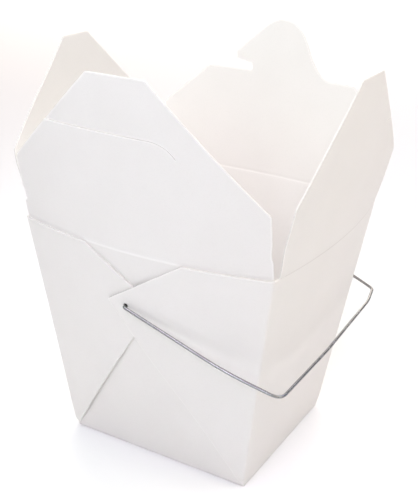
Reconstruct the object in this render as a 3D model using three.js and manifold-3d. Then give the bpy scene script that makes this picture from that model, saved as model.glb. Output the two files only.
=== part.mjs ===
// Folded paperboard takeaway pail, standing open, with a wire bail.
//
// Millimetres, +Z up, origin at the middle of the base. +X is the pail's right, where the bail hangs,
// and -Y is its front, where one end of the bail is pinned.
//
// One creased sheet makes the floor, four walls that widen and bow towards the mouth, four corner
// gussets folded flat over the front and back walls, and four lid flaps. The flaps hinge at the
// mouth, so each is a mesh of its own. The bail turns in two holes, one in each stack of gussets.

import * as THREE from 'three';
import { mergeVertices } from 'three/addons/utils/BufferGeometryUtils.js';
import Module from 'manifold-3d';

const wasm = await Module();
wasm.setup();

// ---- Driving dimensions --------------------------------------------------------------------------

const SHEET = 0.5; // board thickness
const HEIGHT = 105; // base to mouth
const BASE_WIDTH = 87; // along X
const BASE_DEPTH = 75.5; // along Y
const MOUTH_WIDTH = 115;
const MOUTH_DEPTH = 100;

const CREASE_GAP = 0.3; // between the mouth's rim and a flap, at the corners
const OPEN_EXTRA = 8; // degrees that a flap opens beyond where it stands
const FLAP_BOW_FADE = 120; // flap height at which its middle's bow would have died out

// Flaps. The heights run up the flap from its crease.
const FRONT_FLAP = { inset: 0.8, shoulder: 28.6, topHalf: 12.7, top: 71.6 };
const BACK_FLAP = { inset: 1.1, shoulder: 28, topHalf: 37.4, top: 47.6 };
const SIDE_FLAP = { inset: 1.7, shoulder: 27.4, topHalf: 9.2, top: 67.5 };
const SHOULDER_ROUND = 1.6;
const HOOK_TOP = 73.2;
const SLIT_WIDTH = 0.6;
const LOCKING_SLIT = { height: 49.1, straightEnd: 13.5, dropWidth: 11, dropDepth: 6.6 };
const EDGE_SLIT = { height: 44.6, from: 26.4 };

const GUSSET_TOP_GAP = 1.4; // gusset's top edge below the mouth
const GUSSET_TOP_END = 20.5; // where the top edge stops, from the wall's middle
const GUSSET_TIP_BLUNT = 1.4;
const GUSSET_STACK = 1.1; // two folded layers

// The two gussets of a wall. Each tip passes the wall's middle, and the upper one rides over the lower.
const LOWER_GUSSET = { tipPast: 9.4, tipHeight: 83.6, tipStack: 1.1 };
const UPPER_GUSSET = { tipPast: 12.6, tipHeight: 81.5, tipStack: 2.9 };

const PIVOT_X = -3.7;
const PIVOT_HEIGHT = 80.9;
const PIVOT_HOLE_RADIUS = 1.25;

// The bail is a flat loop of wire. Its points lie in its own plane: first the distance from the
// pivots, then the place along Y. A radius rounds each bend.
const WIRE_RADIUS = 0.65;
const BAIL_DROP = 17.5; // degrees below level
const ARM_SAG = 0.9; // arm's middle below the flat plane
const ARM_CLEARANCE = 1.6; // arm's centre line off the gussets
const FRONT_CORNER = { at: [71.5, -53.9], radius: 5.5 };
const BACK_SHOULDER = { at: [69.2, 42], radius: 26 };
const BACK_CORNER = { at: [67.1, 53.6], radius: 2 };
const ARM_BEND = { at: [43, 58.2], radius: 150 }; // each arm runs straight out and then leans inward
const BAIL_END_CORNER = 1.3;
const FOOT_INSIDE = 2.2; // foot's centre line off the wall's inner face
const FOOT_LENGTH = 5;

const WALL_COLUMNS = 14;
const WALL_ROWS = 5;
const FLAP_COLUMNS = 14;
const FLAP_ROWS = 5;
const WIRE_STEPS = 170;
const WIRE_SIDES = 8;

const BOARD = { color: 0xf3f0ee, roughness: 0.62, metalness: 0 };
const STEEL = { color: 0xa9a6a4, roughness: 0.32, metalness: 1 };

// Each side of the pail: its along direction, its half sizes and reach at base and mouth, its outward
// direction, the bow of its mouth, how many degrees its flap leans out, the way round the mouth, the
// flap height at which the flap's side edges have come level with its middle, and the upright edge of
// the flap as pairs of height and bite.
const X = new THREE.Vector3(1, 0, 0);
const Y = new THREE.Vector3(0, 1, 0);
const Z = new THREE.Vector3(0, 0, 1);
const halfWidths = [BASE_WIDTH / 2, MOUTH_WIDTH / 2];
const halfDepths = [BASE_DEPTH / 2, MOUTH_DEPTH / 2];
const notched = [[0, 0], [7.8, 0], [9, 1.6], [12, 1.6], [15, 0.2]];
const waisted = [[0, 0.6], [5, 1.3], [10, 1.5], [15, 1], [21, 0]];
const ends = { along: X, half: halfWidths, reach: halfDepths, settle: 240, edge: notched };
const flanks = { along: Y, half: halfDepths, reach: halfWidths, settle: 50, edge: waisted };
const SIDES = {
  front: { ...ends, out: Y.clone().negate(), bow: 9, lean: 12, turn: 1 },
  right: { ...flanks, out: X, bow: 4.5, lean: 8.6, turn: 1 },
  back: { ...ends, out: Y, bow: 6.5, lean: 10, turn: -1 },
  left: { ...flanks, out: X.clone().negate(), bow: 4.2, lean: 8, turn: -1 },
};

// ---- Solids --------------------------------------------------------------------------------------

function triangleMesh(vertices, triangles) {
  const geometry = new THREE.BufferGeometry();
  const position = vertices.flatMap((v) => v.toArray());
  geometry.setAttribute('position', new THREE.Float32BufferAttribute(position, 3));
  geometry.setIndex(triangles.flat());
  return geometry;
}

function signedVolume(position, index) {
  const [a, b, c] = [new THREE.Vector3(), new THREE.Vector3(), new THREE.Vector3()];
  let volume = 0;
  for (let i = 0; i < index.count; i += 3) {
    a.fromBufferAttribute(position, index.getX(i));
    b.fromBufferAttribute(position, index.getX(i + 1));
    c.fromBufferAttribute(position, index.getX(i + 2));
    volume += a.dot(b.cross(c)) / 6;
  }
  return volume;
}

// A closed geometry as a solid, its faces turned outward if they point in.
function solid(geometry) {
  const bare = geometry.clone();
  bare.deleteAttribute('normal');
  bare.deleteAttribute('uv');
  const merged = mergeVertices(bare, 1e-4);
  const triVerts = Uint32Array.from(merged.index.array);
  if (signedVolume(merged.attributes.position, merged.index) < 0) {
    for (let i = 0; i < triVerts.length; i += 3) {
      [triVerts[i], triVerts[i + 1]] = [triVerts[i + 1], triVerts[i]];
    }
  }
  const vertProperties = Float32Array.from(merged.attributes.position.array);
  return new wasm.Manifold(new wasm.Mesh({ numProp: 3, vertProperties, triVerts }));
}

// Joins rings of equal length one after another, and caps the first and the last.
function loft(rings) {
  const count = rings[0].length;
  const vertices = rings.flat();
  const triangles = [];
  for (let r = 0; r + 1 < rings.length; r += 1) {
    for (let i = 0; i < count; i += 1) {
      const j = (i + 1) % count;
      const [a, b] = [r * count + i, r * count + j];
      triangles.push([a, b, b + count], [a, b + count, a + count]);
    }
  }
  for (const [start, flip] of [[0, true], [(rings.length - 1) * count, false]]) {
    const ring = vertices.slice(start, start + count);
    const middle = vertices.length;
    vertices.push(ring.reduce((sum, v) => sum.add(v), new THREE.Vector3()).divideScalar(count));
    for (let i = 0; i < count; i += 1) {
      const [a, b] = [start + i, start + ((i + 1) % count)];
      triangles.push(flip ? [middle, b, a] : [middle, a, b]);
    }
  }
  return solid(triangleMesh(vertices, triangles));
}

// A bent plate between two surfaces, each given as a function of u and v from 0 to 1.
function plate(columns, rows, outer, inner) {
  const vertices = [];
  const triangles = [];
  const across = columns + 1;
  const layer = across * (rows + 1);
  for (const surface of [outer, inner]) {
    for (let j = 0; j <= rows; j += 1) {
      for (let i = 0; i <= columns; i += 1) vertices.push(surface(i / columns, j / rows));
    }
  }
  for (let j = 0; j < rows; j += 1) {
    for (let i = 0; i < columns; i += 1) {
      const a = j * across + i;
      const [b, c, d] = [a + 1, a + across + 1, a + across];
      triangles.push([a, b, c], [a, c, d]);
      triangles.push([a + layer, c + layer, b + layer], [a + layer, d + layer, c + layer]);
    }
  }
  const edge = (a, b) => triangles.push([b, a, a + layer], [b, a + layer, b + layer]);
  for (let i = 0; i < columns; i += 1) {
    edge(i, i + 1);
    edge(rows * across + i + 1, rows * across + i);
  }
  for (let j = 0; j < rows; j += 1) {
    edge((j + 1) * across, j * across);
    edge(j * across + columns, (j + 1) * across + columns);
  }
  return solid(triangleMesh(vertices, triangles));
}

// An outline in the plane of two directions, carried from one distance to another along a third.
function prism(shape, origin, [right, up, through], near, far) {
  const options = { depth: far - near, bevelEnabled: false, curveSegments: 10 };
  const geometry = new THREE.ExtrudeGeometry(shape, options);
  geometry.translate(0, 0, near);
  geometry.applyMatrix4(new THREE.Matrix4().makeBasis(right, up, through).setPosition(origin));
  return solid(geometry);
}

function mesh(name, body, finish) {
  const { vertProperties, triVerts } = body.getMesh();
  const geometry = new THREE.BufferGeometry();
  geometry.setAttribute('position', new THREE.Float32BufferAttribute(vertProperties, 3));
  geometry.setIndex(new THREE.BufferAttribute(triVerts, 1));
  geometry.computeVertexNormals();
  const result = new THREE.Mesh(geometry, new THREE.MeshStandardMaterial(finish));
  result.name = name;
  return result;
}

// ---- Walls ---------------------------------------------------------------------------------------

const mix = (pair, k) => pair[0] + (pair[1] - pair[0]) * k;

// A point of a wall: t runs from -1 to 1 across it, and offset is how far it lies outside the wall.
function wallPoint(side, t, z, offset) {
  const k = z / HEIGHT;
  const half = mix(side.half, k) + Math.min(offset, 0);
  const reach = mix(side.reach, k) + side.bow * k * (1 - t * t) + offset;
  const point = new THREE.Vector3(0, 0, z);
  return point.addScaledVector(side.along, t * half).addScaledVector(side.out, reach);
}

// One turn round the walls at a height.
function wallRing(z, offset) {
  const ring = [];
  for (const side of Object.values(SIDES)) {
    for (let i = 0; i < WALL_COLUMNS; i += 1) {
      ring.push(wallPoint(side, side.turn * ((2 * i) / WALL_COLUMNS - 1), z, offset));
    }
  }
  return ring;
}

// Floor and walls in one: up the outside, over the rim and down the inside.
function tub() {
  const levels = Array.from({ length: WALL_ROWS + 1 }, (_, i) => (HEIGHT * i) / WALL_ROWS);
  const outside = levels.map((z) => wallRing(z, 0));
  const inside = levels.map((z) => wallRing(Math.max(z, SHEET), -SHEET)).reverse();
  return loft([...outside, ...inside]);
}

// The gusset that folds in from the wall's left (-1) or right (1) edge, up to its own top surface.
function gusset(side, hand, { tipPast, tipHeight, tipStack }) {
  const top = HEIGHT - GUSSET_TOP_GAP;
  const outline = new THREE.Shape();
  outline.moveTo((hand * BASE_WIDTH) / 2, 0);
  outline.lineTo(hand * mix(side.half, top / HEIGHT), top);
  outline.lineTo(hand * GUSSET_TOP_END, top);
  outline.lineTo(-hand * tipPast, tipHeight);
  outline.lineTo(-hand * (tipPast - GUSSET_TIP_BLUNT / 2), tipHeight - GUSSET_TIP_BLUNT);
  outline.closePath();
  const stack = (t) => mix([tipStack, GUSSET_STACK], (hand * t + 1) / 2);
  const cover = plate(
    WALL_COLUMNS,
    WALL_ROWS,
    (u, v) => wallPoint(side, 2 * u - 1, v * HEIGHT, stack(2 * u - 1)),
    (u, v) => wallPoint(side, 2 * u - 1, v * HEIGHT, -SHEET / 2),
  );
  const cutter = prism(outline, new THREE.Vector3(), [side.along, Z, side.out], 0, MOUTH_DEPTH);
  return cover.intersect(cutter);
}

function carton() {
  let body = tub();
  for (const side of [SIDES.front, SIDES.back]) {
    body = body.add(gusset(side, -1, LOWER_GUSSET)).add(gusset(side, 1, UPPER_GUSSET));
    const hole = new THREE.Shape().absarc(PIVOT_X, PIVOT_HEIGHT, PIVOT_HOLE_RADIUS, 0, 2 * Math.PI);
    body = body.subtract(prism(hole, new THREE.Vector3(), [X, Z, side.out], BASE_DEPTH / 2, MOUTH_DEPTH));
  }
  return body;
}

// ---- Flaps ---------------------------------------------------------------------------------------

function flapFrame(side) {
  const lean = THREE.MathUtils.degToRad(side.lean);
  const up = Z.clone().multiplyScalar(Math.cos(lean)).addScaledVector(side.out, Math.sin(lean));
  const origin = new THREE.Vector3(0, 0, HEIGHT).addScaledVector(side.out, side.reach[1]);
  return { up, origin };
}

// A flap follows the bow of its wall's rim and flattens towards its tip.
function flapBlank(side, top) {
  const { up, origin } = flapFrame(side);
  const half = side.half[1];
  const face = (inset) => (s, v) => {
    const t = 2 * s - 1;
    const bow = side.bow * (1 - t * t);
    const foot = CREASE_GAP + bow * Math.sin(THREE.MathUtils.degToRad(OPEN_EXTRA));
    const h = foot + v * (top - foot);
    const middle = 1 - h / FLAP_BOW_FADE;
    const edges = Math.max(0, 1 - h / side.settle) ** 2;
    const reach = side.bow * (middle - t * t * edges) - inset;
    const point = origin.clone().addScaledVector(side.along, t * half);
    return point.addScaledVector(up, h).addScaledVector(side.out, reach);
  };
  return plate(FLAP_COLUMNS, FLAP_ROWS, face(0), face(SHEET));
}

// The blank is cut to its outline, and then by its slots. The cutters pass well clear of its bow.
function cutFlap(side, size, slots) {
  const { up, origin } = flapFrame(side);
  const cut = (shape) => prism(shape, origin, [side.along, up, side.out], -2 * side.bow, 2 * side.bow);
  let body = flapBlank(side, size.tip ?? size.top).intersect(cut(flapOutline(side, size)));
  for (const shape of slots) body = body.subtract(cut(shape));
  return body;
}

// A flap: upright edges, rounded shoulders and chamfers up to its top edge.
function flapOutline(side, { inset, shoulder, topHalf, top, crown }) {
  const edge = side.half[1] - inset;
  const run = edge - topHalf;
  const rise = top - shoulder;
  const slant = Math.hypot(run, rise) / SHOULDER_ROUND;
  const upright = side.edge.map(([h, bite]) => [edge - bite, h]);
  upright[0][1] = -1;
  const shape = new THREE.Shape();
  shape.moveTo(...upright[0]);
  for (const point of upright.slice(1)) shape.lineTo(...point);
  shape.lineTo(edge, shoulder - SHOULDER_ROUND);
  shape.quadraticCurveTo(edge, shoulder, edge - run / slant, shoulder + rise / slant);
  shape.lineTo(topHalf, top);
  if (crown) crown(shape, top);
  shape.lineTo(-topHalf, top);
  shape.lineTo(-edge + run / slant, shoulder + rise / slant);
  shape.quadraticCurveTo(-edge, shoulder, -edge, shoulder - SHOULDER_ROUND);
  for (const [x, h] of upright.reverse()) shape.lineTo(-x, h);
  shape.closePath();
  return shape;
}

// The back flap's hook: a rounded tongue with a beak that catches under the front flap's slit.
function hook(shape, top) {
  shape.lineTo(26, top);
  shape.bezierCurveTo(21.5, 48.8, 19.5, 52.5, 16.8, 57.2);
  shape.lineTo(12.2, 65.6);
  shape.bezierCurveTo(9.2, 71, 4.5, 74.5, -1.8, 72.5);
  shape.bezierCurveTo(-4.8, 71.5, -7.5, 69.3, -11.3, 66);
  shape.lineTo(-20.6, 57.4);
  shape.bezierCurveTo(-22, 55.8, -21.8, 52.6, -20, 51.9);
  shape.lineTo(-13.4, 50.9);
  shape.lineTo(-13.4, top);
}

// A slot of one width along a line of points.
function slot(points, width) {
  const shape = new THREE.Shape();
  const shifted = (sign) =>
    points.map((p, i) => {
      const before = points[Math.max(i - 1, 0)];
      const after = points[Math.min(i + 1, points.length - 1)];
      const way = after.clone().sub(before).normalize();
      return p.clone().add(new THREE.Vector2(-way.y, way.x).multiplyScalar((sign * width) / 2));
    });
  shape.setFromPoints([...shifted(1), ...shifted(-1).reverse()]);
  return shape;
}

// The front flap's slit runs in from its left chamfer and turns down at its end.
function lockingSlit() {
  const { height, straightEnd, dropWidth, dropDepth } = LOCKING_SLIT;
  const drop = new THREE.CubicBezierCurve(
    new THREE.Vector2(straightEnd, height),
    new THREE.Vector2(straightEnd + dropWidth * 0.45, height),
    new THREE.Vector2(straightEnd + dropWidth * 0.8, height - dropDepth * 0.45),
    new THREE.Vector2(straightEnd + dropWidth, height - dropDepth),
  );
  return slot([new THREE.Vector2(-MOUTH_WIDTH / 2, height), ...drop.getPoints(6)], SLIT_WIDTH);
}

function edgeSlit() {
  const { height, from } = EDGE_SLIT;
  return slot([new THREE.Vector2(from, height), new THREE.Vector2(MOUTH_DEPTH / 2, height)], SLIT_WIDTH);
}

// ---- Bail ----------------------------------------------------------------------------------------

// Straight runs joined by rounded corners, each corner given as a point and a radius.
function bentPath(corners) {
  const path = new THREE.CurvePath();
  let from = corners[0].point;
  for (let i = 1; i + 1 < corners.length; i += 1) {
    const { point, radius } = corners[i];
    const arriving = point.clone().sub(corners[i - 1].point).normalize();
    const leaving = corners[i + 1].point.clone().sub(point).normalize();
    const setback = radius * Math.tan(arriving.angleTo(leaving) / 2);
    const start = point.clone().addScaledVector(arriving, -setback);
    const end = point.clone().addScaledVector(leaving, setback);
    path.add(new THREE.LineCurve3(from, start));
    path.add(new THREE.QuadraticBezierCurve3(start, point, end));
    from = end;
  }
  path.add(new THREE.LineCurve3(from, corners[corners.length - 1].point));
  return path;
}

// A point of the bail from its distance out from the pivots, its place along Y and its drop below
// the bail's plane.
function bailPoint([reach, y], below) {
  const angle = THREE.MathUtils.degToRad(BAIL_DROP);
  const x = PIVOT_X + reach * Math.cos(angle) - below * Math.sin(angle);
  return new THREE.Vector3(x, y, PIVOT_HEIGHT - reach * Math.sin(angle) - below * Math.cos(angle));
}

// The end of an arm: its foot inside the pail, its pass through the hole, and its slight bend.
function armEnd(side) {
  const hand = Math.sign(side.out.y);
  const wall = wallPoint(side, PIVOT_X / mix(side.half, PIVOT_HEIGHT / HEIGHT), PIVOT_HEIGHT, 0);
  const inside = hand * (wall.dot(side.out) - SHEET - FOOT_INSIDE);
  const outside = hand * (wall.dot(side.out) + UPPER_GUSSET.tipStack + ARM_CLEARANCE);
  return [
    { point: bailPoint([0, inside], FOOT_LENGTH) },
    { point: bailPoint([0, inside], 0), radius: BAIL_END_CORNER },
    { point: bailPoint([0, outside], 0), radius: BAIL_END_CORNER },
    { point: bailPoint([ARM_BEND.at[0], hand * ARM_BEND.at[1]], ARM_SAG), radius: ARM_BEND.radius },
  ];
}

function bail() {
  const crosspiece = [FRONT_CORNER, BACK_SHOULDER, BACK_CORNER].map(({ at, radius }) => {
    return { point: bailPoint(at, 0), radius };
  });
  const path = bentPath([...armEnd(SIDES.front), ...crosspiece, ...armEnd(SIDES.back).reverse()]);
  const section = new THREE.Shape().absarc(0, 0, WIRE_RADIUS, 0, 2 * Math.PI);
  return solid(new THREE.ExtrudeGeometry(section, {
    steps: WIRE_STEPS,
    curveSegments: WIRE_SIDES / 2,
    bevelEnabled: false,
    extrudePath: path,
  }));
}

// ---- Assembly ------------------------------------------------------------------------------------

const frontFlap = cutFlap(SIDES.front, FRONT_FLAP, [lockingSlit()]);
const backFlap = cutFlap(SIDES.back, { ...BACK_FLAP, crown: hook, tip: HOOK_TOP }, []);
const leftFlap = cutFlap(SIDES.left, SIDE_FLAP, []);
const rightFlap = cutFlap(SIDES.right, SIDE_FLAP, [edgeSlit()]);

const pail = new THREE.Group();
pail.add(
  mesh('carton', carton(), BOARD),
  mesh('front_flap', frontFlap, BOARD),
  mesh('back_flap', backFlap, BOARD),
  mesh('left_flap', leftFlap, BOARD),
  mesh('right_flap', rightFlap, BOARD),
  mesh('bail', bail(), STEEL),
);

export default pail;
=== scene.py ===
import math
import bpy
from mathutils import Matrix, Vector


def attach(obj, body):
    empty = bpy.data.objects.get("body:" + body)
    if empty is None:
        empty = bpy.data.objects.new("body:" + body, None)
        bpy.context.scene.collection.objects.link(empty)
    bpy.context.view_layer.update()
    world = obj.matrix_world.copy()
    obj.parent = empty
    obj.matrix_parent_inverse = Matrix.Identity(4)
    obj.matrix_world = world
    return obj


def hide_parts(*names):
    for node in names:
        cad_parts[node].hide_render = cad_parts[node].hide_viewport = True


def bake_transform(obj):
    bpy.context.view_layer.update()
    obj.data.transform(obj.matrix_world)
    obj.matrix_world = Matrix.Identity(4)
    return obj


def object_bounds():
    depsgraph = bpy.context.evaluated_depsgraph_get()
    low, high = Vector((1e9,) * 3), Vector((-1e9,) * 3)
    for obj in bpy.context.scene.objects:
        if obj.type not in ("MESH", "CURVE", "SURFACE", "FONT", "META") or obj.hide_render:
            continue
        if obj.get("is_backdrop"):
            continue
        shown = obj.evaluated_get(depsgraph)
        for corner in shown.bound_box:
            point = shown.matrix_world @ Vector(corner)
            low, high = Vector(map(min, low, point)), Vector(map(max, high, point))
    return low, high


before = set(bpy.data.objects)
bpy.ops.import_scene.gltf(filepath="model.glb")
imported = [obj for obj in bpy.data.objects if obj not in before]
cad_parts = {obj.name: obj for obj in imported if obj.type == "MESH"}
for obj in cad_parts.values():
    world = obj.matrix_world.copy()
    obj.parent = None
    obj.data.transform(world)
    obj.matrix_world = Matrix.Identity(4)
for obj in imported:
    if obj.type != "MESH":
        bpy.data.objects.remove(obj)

from types import SimpleNamespace

import bmesh
import bpy
import numpy as np
from bpy.props import FloatProperty, FloatVectorProperty, IntProperty, PointerProperty
from mathutils import Matrix, Vector
from mathutils.geometry import delaunay_2d_cdt

CAD_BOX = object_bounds()

bl_info = {
    "name": "Folded Takeaway Pail",
    "version": (1, 0, 0),
    "blender": (4, 5, 0),
    "location": "View3D > Sidebar > Pail",
    "description": "Makes a folded paperboard takeaway pail, its lid flaps and its wire bail",
    "category": "Object",
}

# Shapes are worked out in millimetres, +Z up, with the origin at the middle of the base.
MM = 0.001

# ---- Sizes of the blank ----

HEIGHT = 105.0  # base to mouth
HALF_WIDTHS = (43.5, 57.5)  # base, mouth
HALF_DEPTHS = (37.75, 50.0)
FLAP_BOW_FADE = 120.0  # flap height at which its middle's bow would have died out
SHEET = 0.5  # board thickness
BASE_FOLD = 0.4  # radius of the folds round the floor
CORNER_FOLD = 0.9  # how far from a corner its fold begins
APEX = 1.5  # height at which the gussets' diagonal folds start

GUSSET_TOP = 104.9  # top edge of a gusset's outer layer
GUSSET_TOP_END = 22.4  # where that edge stops, from the wall's middle
INNER_TOP = 104.75  # top edge of its inner layer
GUSSET_TIP_BLUNT = 1.4
LAYER_GAP = 0.03  # air between two layers that lie shut

# Where the gussets leave the wall's face. A pair says where a change starts and where it is done.
STACK_RISE = 4.8  # height at which both layers lie outside the wall
AJAR_RISE = 16  # height at which a fold stands fully ajar
PRESSED_SHUT = (50, 64)  # heights over which the upper gusset presses the lower one's fold shut
LIFT_ALONG = (-36, -9.4)  # the upper gusset climbs over the lower one between these places
LIFT_UP = (26, 62)
SPRING_UP = (55, 80)
CUT_FACING = (0.547, 0.838)  # the way the lower gusset's cut edge faces
SETTLED = 12  # how far past that edge the upper gusset lies on the wall again

PIVOT = (-3.7, 80.9)  # the bail's axis, as a place along X and a height
HOLE = (-4.0, 80.6)  # its holes, a little off the axis, as the wire hangs in them
HOLE_RADIUS = 1.04

BEAD_DEPTH = 0.12  # the score line round the mouth stands proud by this
BEAD_WIDTH = 0.85
SCORE_DIP = 0.05  # and a flap dips by this just above it
DIP_HEIGHT = 1.7
DIP_WIDTH = 0.7
CREASE_LAP = 0.03  # a flap's lower edge reaches this far below the crease, which closes the joint
LAP_FADE = 0.3
NOD_ALONG = (0.0, 0.8)  # a nod grows between these shares of the way to the flap's front edge
NOD_RISE = 14  # flap height at which it is complete
NOD_FADE = (30, 68)  # and the heights over which it is taken back

X, Y, Z = np.eye(3)


def make_side(
    name, along, out, half, reach, bow, lean, settle, nod=0.0, fade=0.0, score=1.0, pale=True
):
    """A wall and its flap. The name tells sides apart where runs of the sheet are compared.

    half and reach are half its width and its distance outward, at base and mouth. The mouth bulges
    by bow. The flap leans out by lean degrees, and its edges come level with its middle by the
    height settle. nod turns its front half inward, and the share fade of that is taken back. score
    scales the crease's bead, and pale picks painted highlight or painted shade for the crease.
    """
    return SimpleNamespace(**locals())


ENDS, FLANKS = (HALF_WIDTHS, HALF_DEPTHS), (HALF_DEPTHS, HALF_WIDTHS)
FRONT = make_side("front", X, -Y, *ENDS, 9.0, 12.0, 240.0)
BACK = make_side("back", X, Y, *ENDS, 6.5, 10.0, 240.0, score=0.5)
# The right side's crease carries painted shade in place of a painted highlight
RIGHT = make_side("right", Y, X, *FLANKS, 4.5, 8.35, 50.0, 1.5, 0.5, score=-0.6, pale=False)
LEFT = make_side("left", Y, -X, *FLANKS, 4.2, 8.0, 50.0, -0.95, 1.0)

# The gusset from a wall's left edge lies against the wall, and the one from its right edge over it.
# Each tip lies past the wall's middle at the height tip. lift takes a gusset over the other one,
# spring bends its tip off, and bow curves its diagonal fold. Each fold stays ajar: its two layers
# stand off by the ajar distances, dying away over a reach.
LOWER = SimpleNamespace(
    hand=-1, past=9.4, tip=83.6, lift=0.0, spring=0.0, ajar=(0.85, 0.1), reach=8.0, bow=1.1
)
UPPER = SimpleNamespace(
    hand=1, past=12.6, tip=81.5, lift=1.09, spring=0.05, ajar=(0.15, 0.2), reach=4.5, bow=0.0
)


def mix(pair, k):
    """Goes from the first of a pair to the second as k goes from 0 to 1."""
    return pair[0] + (pair[1] - pair[0]) * k


def ease(low, high, value):
    """Goes smoothly from 0 at low to 1 at high."""
    t = np.clip((np.asarray(value, float) - low) / (high - low), 0.0, 1.0)
    return t * t * (3 - 2 * t)


def bead(from_crease):
    """How far a score stands proud: flat on top, with steep flanks."""
    return BEAD_DEPTH * np.exp(-((np.asarray(from_crease, float) / BEAD_WIDTH) ** 4))


# ---- Surfaces ----


def wall_point(side, a, z, offset):
    """Points of a wall, from the place along it, the height and the distance outside its face."""
    a, z, offset = np.broadcast_arrays(*(np.asarray(v, float) for v in (a, z, offset)))
    k = z / HEIGHT
    t = a / mix(side.half, k)
    reach = mix(side.reach, k) + side.bow * k * (1 - t * t) + offset
    reach = reach + side.score * bead(HEIGHT - z)
    return a[..., None] * side.along + reach[..., None] * side.out + z[..., None] * Z


def flap_point(side, a, h, offset):
    """Points of a flap, which follows the bow of the mouth at its crease and flattens upward.

    A side flap nods in or out towards the front. What is above the locking slit springs in behind
    what is below it.
    """
    a, h, offset = np.broadcast_arrays(*(np.asarray(v, float) for v in (a, h, offset)))
    lean = math.radians(side.lean)
    up = math.cos(lean) * Z + math.sin(lean) * side.out
    h = h - CREASE_LAP * (1 - ease(0, LAP_FADE, h))
    t = a / side.half[1]
    edges = np.maximum(0.0, 1 - h / side.settle) ** 2
    reach = side.reach[1] + side.bow * ((1 - h / FLAP_BOW_FADE) - t * t * edges) + offset
    reach = reach + side.score * bead(h)
    reach = reach - side.score * SCORE_DIP * np.exp(-(((h - DIP_HEIGHT) / DIP_WIDTH) ** 2))
    nod = side.nod * ease(0, NOD_RISE, h) * (1 - side.fade * ease(*NOD_FADE, h))
    reach = reach - nod * ease(*NOD_ALONG, -t)
    if side is FRONT:
        over = h - np.interp(a, *np.transpose(LOCKING_SLIT))
        sprung = SPRUNG * (over > 0) * (1 - ease(SPRUNG_FROM, SLIT_END, a))
        reach = reach - sprung * (1 - ease(0, SPRUNG_FADE, over))
    return a[..., None] * side.along + HEIGHT * Z + h[..., None] * up + reach[..., None] * side.out


def fold_end(gusset):
    """The top of a gusset's diagonal fold: a place towards its own corner, and a height."""
    return -(gusset.past - GUSSET_TIP_BLUNT / 2), gusset.tip - GUSSET_TIP_BLUNT


def gusset_edge(gusset, z):
    """Where a gusset's fold or its cut edge lies at a height, measured towards its own corner."""
    end, top = fold_end(gusset)
    start = corner_start(APEX)
    heights = [APEX, top, gusset.tip, GUSSET_TOP]
    bow = gusset.bow * math.sin(math.pi * float(np.clip((z - APEX) / (top - APEX), 0, 1)))
    return bow + float(np.interp(z, heights, [start, end, -gusset.past, GUSSET_TOP_END]))


def corner_start(z):
    """How far along the front or back wall its vertical corner fold begins."""
    return mix(HALF_WIDTHS, z / HEIGHT) - SHEET / 2 - CORNER_FOLD


def layer_offsets(gusset, a, z):
    """How far the middles of a gusset's two layers stand off the wall, at a along it."""
    u, z = np.asarray(a, float) * gusset.hand, np.asarray(z, float)
    end, top = fold_end(gusset)
    foot = np.array([corner_start(APEX), APEX])
    way = np.array([end, top]) - foot
    k = np.clip(((u - foot[0]) * way[0] + (z - foot[1]) * way[1]) / (way @ way), 0, 1)
    d = np.hypot(u - foot[0] - k * way[0], z - foot[1] - k * way[1])
    ajar = ease(APEX, AJAR_RISE, z) * (1 - ease(*PRESSED_SHUT, z) if gusset is LOWER else 1.0)
    near = ajar * np.exp(-d / gusset.reach)
    lift = gusset.lift * ease(*LIFT_ALONG, -u) * ease(*LIFT_UP, z)
    lift = lift + gusset.spring * ease(LIFT_ALONG[1], gusset.past, -u) * ease(*SPRING_UP, z)
    clear = CUT_FACING[0] * (u - LOWER.past) + CUT_FACING[1] * (z - LOWER.tip)
    lift = lift * (1 - ease(0, SETTLED, clear))
    inner = LAYER_GAP + SHEET / 2 + lift + gusset.ajar[0] * near
    outer = inner + SHEET + LAYER_GAP + gusset.ajar[1] * near
    ramp = ease(APEX, STACK_RISE, z)
    flat = -SHEET / 2
    return flat + (inner - flat) * ramp, flat + (outer - flat) * ramp


# ---- Meshes ----


def inside(points, loop):
    """Which of the points lie inside a closed loop."""
    x, y = points[:, :1], points[:, 1:]
    a, b = loop, np.roll(loop, -1, axis=0)
    rise = b[:, 1] - a[:, 1]
    crosses = (a[:, 1] > y) != (b[:, 1] > y)
    at = a[:, 0] + (y - a[:, 1]) * (b[:, 0] - a[:, 0]) / np.where(rise == 0, 1e-12, rise)
    return (crosses & (x < at)).sum(axis=1) % 2 == 1


def distance(points, starts, ends):
    """Each point's distance from the nearest of some straight runs."""
    way = ends - starts
    squares = np.maximum((way**2).sum(axis=1), 1e-12)
    best = np.full(len(points), np.inf)
    for p, w, square in zip(starts, way, squares):
        k = np.clip(((points - p) @ w) / square, 0, 1)
        best = np.minimum(best, np.hypot(*(points - p - k[:, None] * w).T))
    return best


SLIVER = 0.008  # a triangle flatter than this lies along a straight run of the outline
MERGE = 1e-4  # points nearer than this are one
WELD = 2e-6  # the same for a finished mesh, in metres
BOARD_SMOOTH = 42  # degrees between faces that still shade as one surface
FAR = 9.0  # distances from a cut are kept up to this
SCORED = 10.0  # and a value above this marks a score line with painted shade
SCORE_WIDTH = 0.5


def bend(first, corner, last, k):
    """A point of the curve that rounds a corner, as k goes from 0 to 1."""
    return (1 - k) ** 2 * first + 2 * k * (1 - k) * corner + k * k * last


def straight_runs(loops):
    """Where the runs of some closed loops start and end."""
    starts = np.concatenate([np.array(loop) for loop in loops])
    return starts, np.concatenate([np.roll(np.array(loop), -1, axis=0) for loop in loops])


def doubled_area(a, b, c):
    """Twice the areas of triangles, positive where they are drawn counter-clockwise."""
    return (b[:, 0] - a[:, 0]) * (c[:, 1] - a[:, 1]) - (b[:, 1] - a[:, 1]) * (c[:, 0] - a[:, 0])


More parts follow.
